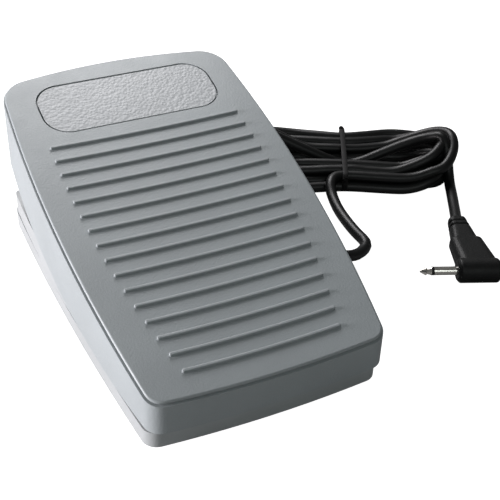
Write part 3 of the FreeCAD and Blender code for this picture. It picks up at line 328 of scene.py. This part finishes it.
finishes = {
    "coverGrey": mouldedPlastic("coverGrey", (0.245, 0.272, 0.281), 0.42, 1300.0, 0.25),
    "baseGrey": mouldedPlastic("baseGrey", (0.29, 0.31, 0.315), 0.46, 1300.0, 0.22),
    "badgeGrey": pebbledPlastic("badgeGrey", (0.31, 0.33, 0.34)),
    "cordBlack": mouldedPlastic("cordBlack", (0.0035, 0.004, 0.004), 0.36, 1900.0, 0.10,
                                mottle=0.25, spread=0.14, specular=0.28),
    "plugBlack": mouldedPlastic("plugBlack", (0.004, 0.0045, 0.0045), 0.42, 1500.0, 0.25,
                                mottle=0.25, spread=0.15, specular=0.25),
    "tieBlack": mouldedPlastic("tieBlack", (0.003, 0.003, 0.003), 0.55, 2600.0, 0.2,
                               mottle=0.2, spread=0.15, specular=0.2),
    "rubberBlack": mouldedPlastic("rubberBlack", (0.022, 0.022, 0.023), 0.72, 1700.0, 0.5, mottle=0.2),
    "switchBlack": mouldedPlastic("switchBlack", (0.02, 0.02, 0.022), 0.36, 1900.0, 0.15),
    "buttonRed": mouldedPlastic("buttonRed", (0.45, 0.03, 0.02), 0.35, 2200.0, 0.08),
    "wireRed": mouldedPlastic("wireRed", (0.42, 0.02, 0.015), 0.35, 2200.0, 0.08),
    "wireWhite": mouldedPlastic("wireWhite", (0.62, 0.61, 0.57), 0.35, 2200.0, 0.08),
    "groundSteel": drawnMetal("groundSteel", (0.56, 0.56, 0.57), 0.18, (0.05, 1.0, 1.0), 0.2),
    "springSteel": drawnMetal("springSteel", (0.42, 0.43, 0.45), 0.25, (1.0, 1.0, 0.2), 0.2),
    "plateZinc": drawnMetal("plateZinc", (0.50, 0.51, 0.50), 0.34, (0.3, 1.0, 1.0), 0.35),
    "screwZinc": drawnMetal("screwZinc", (0.62, 0.61, 0.57), 0.22, (1.0, 1.0, 0.3), 0.2),
    "pinNickel": drawnMetal("pinNickel", (0.80, 0.78, 0.73), 0.08, (0.4, 1.0, 1.0), 0.1),
    "tagBrass": drawnMetal("tagBrass", (0.72, 0.52, 0.22), 0.24, (1.0, 1.0, 0.3), 0.2),
}

finishOf = {
    "treadle_cover": "coverGrey", "base_tray": "baseGrey", "badge_plate": "badgeGrey",
    "cord_clamp": "baseGrey", "gland": "plugBlack", "cord_inner": "cordBlack",
    "hinge_rod": "groundSteel", "hinge_clip_right": "springSteel", "hinge_clip_left": "springSteel",
    "return_spring": "springSteel", "keeper_bar": "plateZinc", "ballast_plate": "plateZinc",
    "switch_bracket": "plateZinc", "blank_plate": "plateZinc", "keeper_screws": "screwZinc",
    "ballast_screws": "screwZinc", "bracket_screws": "screwZinc", "clamp_screws": "screwZinc",
    "switch_screws": "screwZinc", "switch_case": "switchBlack", "switch_button": "buttonRed",
    "switch_lever": "springSteel", "switch_tags": "tagBrass", "wire_a": "wireRed", "wire_b": "wireWhite",
    "bump_stop_right": "rubberBlack", "bump_stop_left": "rubberBlack",
    "rubber_foot_front_right": "rubberBlack", "rubber_foot_front_left": "rubberBlack",
    "rubber_foot_rear_right": "rubberBlack", "rubber_foot_rear_left": "rubberBlack",
    "plug_sleeve": "pinNickel", "plug_tip": "pinNickel", "plug_ring": "plugBlack",
    "plug_body": "plugBlack",
}

for nodeName, finishName in finishOf.items():
    for slot in nodes[nodeName].material_slots:
        slot.material = finishes[finishName]
print("finishes made")


cord = {
    "diameter": 4.8 * mm,
    "exit": (60 * mm, -13.1 * mm, 9.0 * mm),
    "leadPoints": [          # as the solid's route, up to where it climbs on the hank
        (60.0, -13.1, 9.0), (67.0, -12.2, 5.4), (75.0, -9.4, 2.8), (81.9, -4.4, 2.5),
        (81.4, 4.2, 2.5), (81.9, 13.0, 2.5), (83.3, 24.0, 2.5), (85.6, 34.0, 2.5),
    ],
    "tailPoints": [
        (143.6, 29.8, 4.6), (141.2, 23.4, 2.9), (137.2, 15.4, 2.5), (130.6, 3.8, 3.0),
        (123.2, -8.1, 5.2),
    ],
}

hank = {
    "tie": (104.5, 56.8),    # middle of the tie, on the floor
    "angle": -27.5,
    "turns": 7,
    "upperTurns": 3,         # the turns nearest the lead lie on the others
    "nearLower": (-24.0, -19.9, -20.5), "nearPitch": (6.5, 4.87, 4.9),
    "farLower": (4.0, 4.9, 8.0), "farPitch": (6.5, 4.87, 6.2),
    "station": 25.0,         # lanes are given this far left of the tie, at it and right of it
    "between": 12.0, "endShare": 0.45, "middleShare": 0.55,
    "rightTips": (49.0, 45.0, 50.5, 44.0, 48.0, 42.0, 50.0),
    "leftTips": (-47.0, -43.0, -50.0, -45.0, -41.0, -46.0, -52.0),
    "leavingLane": (-1.5, -0.6, 3.0),      # the last strand, over to the plug
    "climb": [(-6.5, -20.5), (-1.0, -17.4)],   # where the lead goes in under the tie
    "foldRadius": 13.2,
    "foldAngles": (-60, -30, 0, 30, 60), "foldGrow": 1.03,
    "step": 5.0,
    "ownStretch": 4,         # points just laid that belong to the same stretch
    "ownReach": 3.5,         # how many gaps back the strand may lie beside itself
    "clearance": 0.05,
    "slope": 0.45,
    "rest": 2.5,             # the cord's middle over the floor
}


def hankSpot(along, across):
    turn = math.radians(hank["angle"])
    u = Vector((math.cos(turn), math.sin(turn)))
    n = Vector((-math.sin(turn), math.cos(turn)))
    return Vector(hank["tie"]) + along * u + across * n


def laneAcross(side, turn):
    # where a turn's near or far strand lies left of the tie, at it and right of it
    upper = turn < hank["upperTurns"]
    index = turn if upper else turn - hank["upperTurns"]
    if upper:
        index += 0.5
    return [a + b * index for a, b in zip(hank[side + "Lower"], hank[side + "Pitch"])]


def tipArc(tip, across, radius, way, rising):
    # half a turn round a lobe's end; way is +1 at the right lobe, rising is the side it leaves by
    middle = tip - way * radius
    return [
        (middle + way * radius * math.cos(math.radians(a)) * hank["foldGrow"],
         across + rising * radius * math.sin(math.radians(a)) * hank["foldGrow"])
        for a in hank["foldAngles"]
    ]


def partWay(end, middle):
    # where a strand lies between its lane at the tie and its lane at a station
    return hank["endShare"] * end + hank["middleShare"] * middle


def hankCorners():
    # the corners of all turns to the end of the last left lobe, and those of the strand that leaves
    corners = []
    count = hank["turns"]
    outer, inner = hank["station"], hank["between"]
    nearLanes = [laneAcross("near", t) for t in range(count)] + [hank["leavingLane"]]
    farLanes = [laneAcross("far", t) for t in range(count)]
    for t in range(count):
        near = nearLanes[t]
        far = farLanes[t]
        following = nearLanes[t + 1]
        if t > 0:
            corners += [(-outer, near[0]), (-inner, partWay(near[0], near[1])), (0.0, near[1])]
        corners += [(inner, partWay(near[2], near[1])), (outer, near[2])]
        radius = max(hank["foldRadius"], (far[2] - near[2]) / 2)
        corners += tipArc(hank["rightTips"][t], (far[2] + near[2]) / 2, radius, 1, 1)
        corners += [(outer, far[2]), (inner, partWay(far[2], far[1])), (0.0, far[1])]
        corners += [(-inner, partWay(far[0], far[1])), (-outer, far[0])]
        radius = max(hank["foldRadius"], (far[0] - following[0]) / 2)
        corners += tipArc(hank["leftTips"][t], (far[0] + following[0]) / 2, radius, -1, -1)
    left, middle, right = hank["leavingLane"]
    leaving = corners[-2:] + [(-outer, left), (-inner, left), (0.0, middle), (inner, 1.2),
                              (outer, right), (35.0, 3.0), (42.5, 0.0)]
    return corners[:-2], leaving


def smoothLine(corners, step):
    # points every step along a rounded line through the corners
    line = []
    for i in range(len(corners) - 1):
        before = corners[max(i - 1, 0)]
        start, end = corners[i], corners[i + 1]
        after = corners[min(i + 2, len(corners) - 1)]
        pieces = max(1, round((end - start).length))
        for k in range(pieces):
            s = k / pieces
            line.append(0.5 * (
                2 * start + (end - before) * s
                + (2 * before - 5 * start + 4 * end - after) * s ** 2
                + (3 * start - before - 3 * end + after) * s ** 3))
    line.append(corners[-1])
    kept = [line[0]]
    for spot in line[1:]:
        if (spot - kept[-1]).length >= step:
            kept.append(spot)
    return kept


def layDown(spots, laid, floorHeight, gap):
    # lay points one after another over those already lying, never steeper than the cord bends
    heights = []
    skip = int(hank["ownReach"] * gap / hank["step"]) + 1
    for i, spot in enumerate(spots):
        need = floorHeight
        own = list(zip(spots[:max(0, i - skip)], heights[:max(0, i - skip)]))
        for other, height in laid + own:
            apart = (spot - other).length
            if apart < gap:
                need = max(need, height + math.sqrt(gap ** 2 - apart ** 2))
        if heights:
            need = max(need, heights[-1] - hank["slope"] * (spot - spots[i - 1]).length)
        heights.append(need)
        k = i - 1
        while k >= 0 and heights[k] < heights[k + 1] - hank["slope"] * (spots[k + 1] - spots[k]).length:
            heights[k] = heights[k + 1] - hank["slope"] * (spots[k + 1] - spots[k]).length
            k -= 1
    return heights


def routePoints():
    # the turns are laid from the last, which lies lowest, back to the lead; the tail goes over them
    turnCorners, leavingCorners = hankCorners()
    leadEnd = Vector(cord["leadPoints"][-1][:2])
    tail = [Vector(p[:2]) for p in cord["tailPoints"][:2]]
    start = [leadEnd] + [hankSpot(a, b) for a, b in hank["climb"] + turnCorners]
    turnCount = len(smoothLine(start, hank["step"])) - 1
    whole = smoothLine(start + [hankSpot(a, b) for a, b in leavingCorners] + tail, hank["step"])
    turns = whole[:turnCount]
    leaving = whole[turnCount:-1]
    gap = cord["diameter"] / mm + hank["clearance"]
    back = list(reversed(turns))
    backHeights = layDown(back, [], hank["rest"], gap)
    laid = list(zip(back, backHeights))[hank["ownStretch"]:]
    leavingHeights = layDown(leaving, laid, hank["rest"], gap)
    heights = list(reversed(backHeights)) + leavingHeights
    points = [Vector(p) * mm for p in cord["leadPoints"][:-1]]
    points += [Vector((p.x, p.y, h)) * mm for p, h in zip(turns + leaving, heights)]
    points += [Vector(p) * mm for p in cord["tailPoints"][1:]]
    return points


def addCord():
    points = routePoints()
    data = bpy.data.curves.new("flex_cord", "CURVE")
    data.dimensions = "3D"
    data.resolution_u = 3
    data.bevel_depth = cord["diameter"] / 2
    data.bevel_resolution = 6
    data.use_fill_caps = True
    spline = data.splines.new("NURBS")
    spline.points.add(len(points) - 1)
    for target, point in zip(spline.points, points):
        target.co = (point.x, point.y, point.z, 1)
    spline.order_u = 3
    spline.use_endpoint_u = True
    obj = bpy.data.objects.new("flex_cord", data)
    bpy.context.collection.objects.link(obj)
    data.materials.append(finishes["cordBlack"])
    length = sum((b - a).length for a, b in zip(points, points[1:]))
    print("cord points", len(points), "runs added up", round(length, 3))
    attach(obj, "base")
    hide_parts("cord_lead", "cord_hank", "cord_tail")
    return obj


flexCord = addCord()
print("cord laid")


tieStrap = {
    "across": 23.0 * mm,     # half its outer width
    "height": 9.6 * mm,
    "width": 2.4 * mm,
    "thick": 0.8 * mm,
    "corner": 3.4 * mm,
    "twistSteps": 10, "twistStep": 0.55 * mm, "twistTurn": 50.0,
    "twistEnds": (-22.0 * mm, 21.6 * mm), "twistLift": 6.2 * mm,
    "twistWide": 0.9, "twistThick": 1.6,     # against the strap
    "twistOut": 0.35, "twistRise": 0.45,     # share of a step sideways and upwards
    "edge": 0.22 * mm,
}


def keepPlace(obj):
    # a finished piece's place goes into its mesh
    bpy.ops.object.select_all(action="DESELECT")
    obj.select_set(True)
    bpy.context.view_layer.objects.active = obj
    bpy.ops.object.transform_apply(location=True, rotation=True, scale=True)


def applyModifier(obj, kind, **values):
    modifier = obj.modifiers.new(kind.title(), kind)
    for name, value in values.items():
        setattr(modifier, name, value)
    bpy.context.view_layer.objects.active = obj
    bpy.ops.object.modifier_apply(modifier=modifier.name)


def finishPiece(obj, name, finish, body, slot, *replaced):
    # a piece that rides on no body gets None as its body
    obj.name = name
    obj.data.name = name
    obj.data.materials.clear()
    obj.data.materials.append(finishes[finish])
    bpy.context.view_layer.objects.active = obj
    bpy.ops.object.shade_smooth_by_angle(angle=smoothAngle)
    if body:
        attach(obj, body)
    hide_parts(*replaced)
    bpy.ops.object.select_all(action="DESELECT")
    return obj


def twistedEnd(across, lift):
    # the strap's two ends twisted together, standing out beside the bundle
    bpy.ops.mesh.primitive_plane_add(size=1, location=(0, across, lift), rotation=(math.pi / 2, 0, 0))
    end = bpy.context.object
    end.scale = (tieStrap["width"] * tieStrap["twistWide"], tieStrap["thick"] * tieStrap["twistThick"], 1)
    keepPlace(end)
    bpy.ops.object.mode_set(mode="EDIT")
    bpy.ops.mesh.select_all(action="SELECT")
    way = 1 if across > 0 else -1
    out = way * tieStrap["twistStep"] * tieStrap["twistOut"]
    rise = tieStrap["twistStep"] * tieStrap["twistRise"]
    for k in range(tieStrap["twistSteps"]):
        bpy.ops.mesh.extrude_region_move(TRANSFORM_OT_translate={"value": (0, out, rise)})
        bpy.ops.transform.rotate(value=math.radians(tieStrap["twistTurn"]), orient_axis="Y",
                                 center_override=(0, across, lift + k * rise))
    bpy.ops.mesh.select_all(action="SELECT")
    bpy.ops.mesh.normals_make_consistent(inside=False)
    bpy.ops.object.mode_set(mode="OBJECT")
    return end


def addTieStrap():
    # an upright oblong loop with rounded corners, as wide as the strap
    bpy.ops.object.select_all(action="DESELECT")
    bpy.ops.mesh.primitive_plane_add(size=1, location=(-tieStrap["width"] / 2, 0, tieStrap["height"] / 2),
                                     rotation=(math.pi / 2, 0, math.pi / 2))
    strap = bpy.context.object
    strap.scale = (2 * (tieStrap["across"] - tieStrap["thick"] / 2),
                   tieStrap["height"] - tieStrap["thick"], 1)
    keepPlace(strap)
    bpy.ops.object.mode_set(mode="EDIT")
    bpy.ops.mesh.select_all(action="SELECT")
    bpy.ops.mesh.bevel(offset=tieStrap["corner"], segments=8, affect="VERTICES")
    bpy.ops.mesh.select_all(action="SELECT")
    bpy.ops.mesh.delete(type="ONLY_FACE")
    bpy.ops.mesh.select_all(action="SELECT")
    bpy.ops.mesh.extrude_region_move(TRANSFORM_OT_translate={"value": (tieStrap["width"], 0, 0)})
    bpy.ops.mesh.select_all(action="SELECT")
    bpy.ops.mesh.normals_make_consistent(inside=False)
    bpy.ops.object.mode_set(mode="OBJECT")
    applyModifier(strap, "SOLIDIFY", thickness=tieStrap["thick"], offset=0)
    applyModifier(strap, "BEVEL", width=tieStrap["edge"], segments=2, limit_method="ANGLE",
                  angle_limit=sharpAngle)
    ends = [twistedEnd(across, tieStrap["twistLift"]) for across in tieStrap["twistEnds"]]
    bpy.ops.object.select_all(action="DESELECT")
    for part in [strap] + ends:
        part.select_set(True)
    bpy.context.view_layer.objects.active = strap
    bpy.ops.object.join()
    strap.rotation_euler = (0, 0, math.radians(hank["angle"]))
    strap.location = Vector(hank["tie"]).to_3d() * mm
    keepPlace(strap)
    return finishPiece(strap, "tie_strap", "tieBlack", "base", "cord_plastic", "hank_tie")


plugShape = {
    "voxel": 0.32 * mm,
    "soften": 5, "softFactor": 0.5,
}


def mergedCopy(nodeName):
    # a welded copy of a solid's loose triangles, to be shaped further
    source = nodes[nodeName]
    copy = source.copy()
    copy.data = source.data.copy()
    bpy.context.collection.objects.link(copy)
    bpy.ops.object.select_all(action="DESELECT")
    copy.select_set(True)
    bpy.context.view_layer.objects.active = copy
    bpy.ops.object.mode_set(mode="EDIT")
    bpy.ops.mesh.select_all(action="SELECT")
    bpy.ops.mesh.remove_doubles(threshold=weldDistance)
    bpy.ops.object.mode_set(mode="OBJECT")
    return copy


def addPlugBody():
    # soft moulded edges all round, as a cast cover has
    body = mergedCopy("plug_body")
    applyModifier(body, "REMESH", mode="VOXEL", voxel_size=plugShape["voxel"], adaptivity=0)
    applyModifier(body, "SMOOTH", factor=plugShape["softFactor"], iterations=plugShape["soften"])
    return finishPiece(body, "plug_cover", "plugBlack", "base", "cord_plastic", "plug_body")


reliefShape = {
    "collar": 1.8 * mm, "wall": 2.2 * mm, "neckRadius": 3.55 * mm,
    "rings": 5,
    "ringLength": 1.3 * mm,
    "ringGap": 0.75 * mm,
    "rootRadius": 3.8 * mm,
    "tipRadius": 2.75 * mm,
    "coreShare": 0.74, "coreTipShare": 0.93, "coreEdge": 0.1 * mm,
    "overlap": 0.1 * mm,
    "edge": 0.3 * mm,
}


def roundSolid(start, end, startRadius, endRadius, edge):
    # a round solid along X with softened rims
    place = (start + end) / 2
    bpy.ops.mesh.primitive_cone_add(vertices=40, radius1=startRadius, radius2=endRadius, depth=end - start,
                                    location=(place, cord["exit"][1], cord["exit"][2]),
                                    rotation=(0, math.pi / 2, 0))
    solid = bpy.context.object
    keepPlace(solid)
    applyModifier(solid, "BEVEL", width=edge, segments=3, limit_method="ANGLE", angle_limit=sharpAngle)
    return solid


def addRelief():
    # the gland: collars each side of the wall, then rings on a flexible core
    low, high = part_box("gland")
    wide = (high[2] - low[2]) / 2
    collar = reliefShape["collar"]
    overlap = reliefShape["overlap"]
    wallIn = low[0] + collar
    wallOut = wallIn + reliefShape["wall"]
    parts = [
        roundSolid(low[0], wallIn, wide, wide, reliefShape["edge"]),
        roundSolid(wallIn - overlap, wallOut + overlap, reliefShape["neckRadius"],
                   reliefShape["neckRadius"], overlap / 2),
        roundSolid(wallOut, wallOut + collar, wide, wide - overlap, reliefShape["edge"]),
    ]
    reach = high[0] - wallOut - collar
    root, tip = reliefShape["rootRadius"], reliefShape["tipRadius"]
    parts.append(roundSolid(wallOut + collar, high[0], root * reliefShape["coreShare"],
                            tip * reliefShape["coreTipShare"], reliefShape["coreEdge"]))
    for k in range(reliefShape["rings"]):
        start = (wallOut + collar + reliefShape["ringGap"]
                 + k * (reliefShape["ringLength"] + reliefShape["ringGap"]))
        share = (start - wallOut - collar) / reach
        nextShare = share + reliefShape["ringLength"] / reach
        parts.append(roundSolid(start, start + reliefShape["ringLength"], root + (tip - root) * share,
                                root + (tip - root) * nextShare, reliefShape["edge"]))
    bpy.ops.object.select_all(action="DESELECT")
    for part in parts:
        part.select_set(True)
    bpy.context.view_layer.objects.active = parts[0]
    bpy.ops.object.join()
    return finishPiece(parts[0], "relief_sleeve", "plugBlack", "base", "cord_plastic", "gland")


footShape = {
    "rim": 1.1 * mm,
    "dish": 0.5 * mm,
    "edge": 0.225 * mm,
    "grip": 1.1 * mm, "gripShare": 0.7,      # the raised middle, against the dish
}


def addFoot(nodeName):
    # a stuck-on rubber foot with a softened rim and a dished sole with a raised middle
    low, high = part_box(nodeName)
    middle = [(a + b) / 2 for a, b in zip(low, high)]
    radius = (high[0] - low[0]) / 2
    bpy.ops.object.select_all(action="DESELECT")
    bpy.ops.mesh.primitive_cylinder_add(vertices=48, radius=radius, depth=high[2] - low[2], location=middle)
    foot = bpy.context.object
    keepPlace(foot)
    bpy.ops.object.mode_set(mode="EDIT")
    bpy.ops.mesh.select_all(action="DESELECT")
    bpy.ops.object.mode_set(mode="OBJECT")
    for face in foot.data.polygons:
        face.select = face.normal.z < -0.9
    bpy.ops.object.mode_set(mode="EDIT")
    bpy.ops.mesh.inset(thickness=footShape["rim"])
    bpy.ops.mesh.extrude_region_move(TRANSFORM_OT_translate={"value": (0, 0, footShape["dish"])})
    bpy.ops.mesh.inset(thickness=footShape["grip"])
    grip = footShape["gripShare"] * footShape["dish"]
    bpy.ops.mesh.extrude_region_move(TRANSFORM_OT_translate={"value": (0, 0, -grip)})
    bpy.ops.object.mode_set(mode="OBJECT")
    applyModifier(foot, "BEVEL", width=footShape["edge"], segments=3, limit_method="ANGLE",
                  angle_limit=sharpAngle)
    return finishPiece(foot, nodeName + "_pad", "rubberBlack", "base", "black_rubber", nodeName)


def addSpring():
    # a welded copy of the spring on no body, its place kept in its mesh; in the pedal the lower coils stay
    # in the base's cup and the upper ones go down with the treadle
    coil = finishPiece(mergedCopy("return_spring"), "spring_coil", "springSteel", None, "spring_steel",
                       "return_spring")
    coil.parent = None
    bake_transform(coil)


strap = addTieStrap()
plugCover = addPlugBody()
relief = addRelief()
for corner in ("front_right", "front_left", "rear_right", "rear_left"):
    addFoot("rubber_foot_" + corner)
addSpring()
print("tie, plug, relief, feet and spring made")
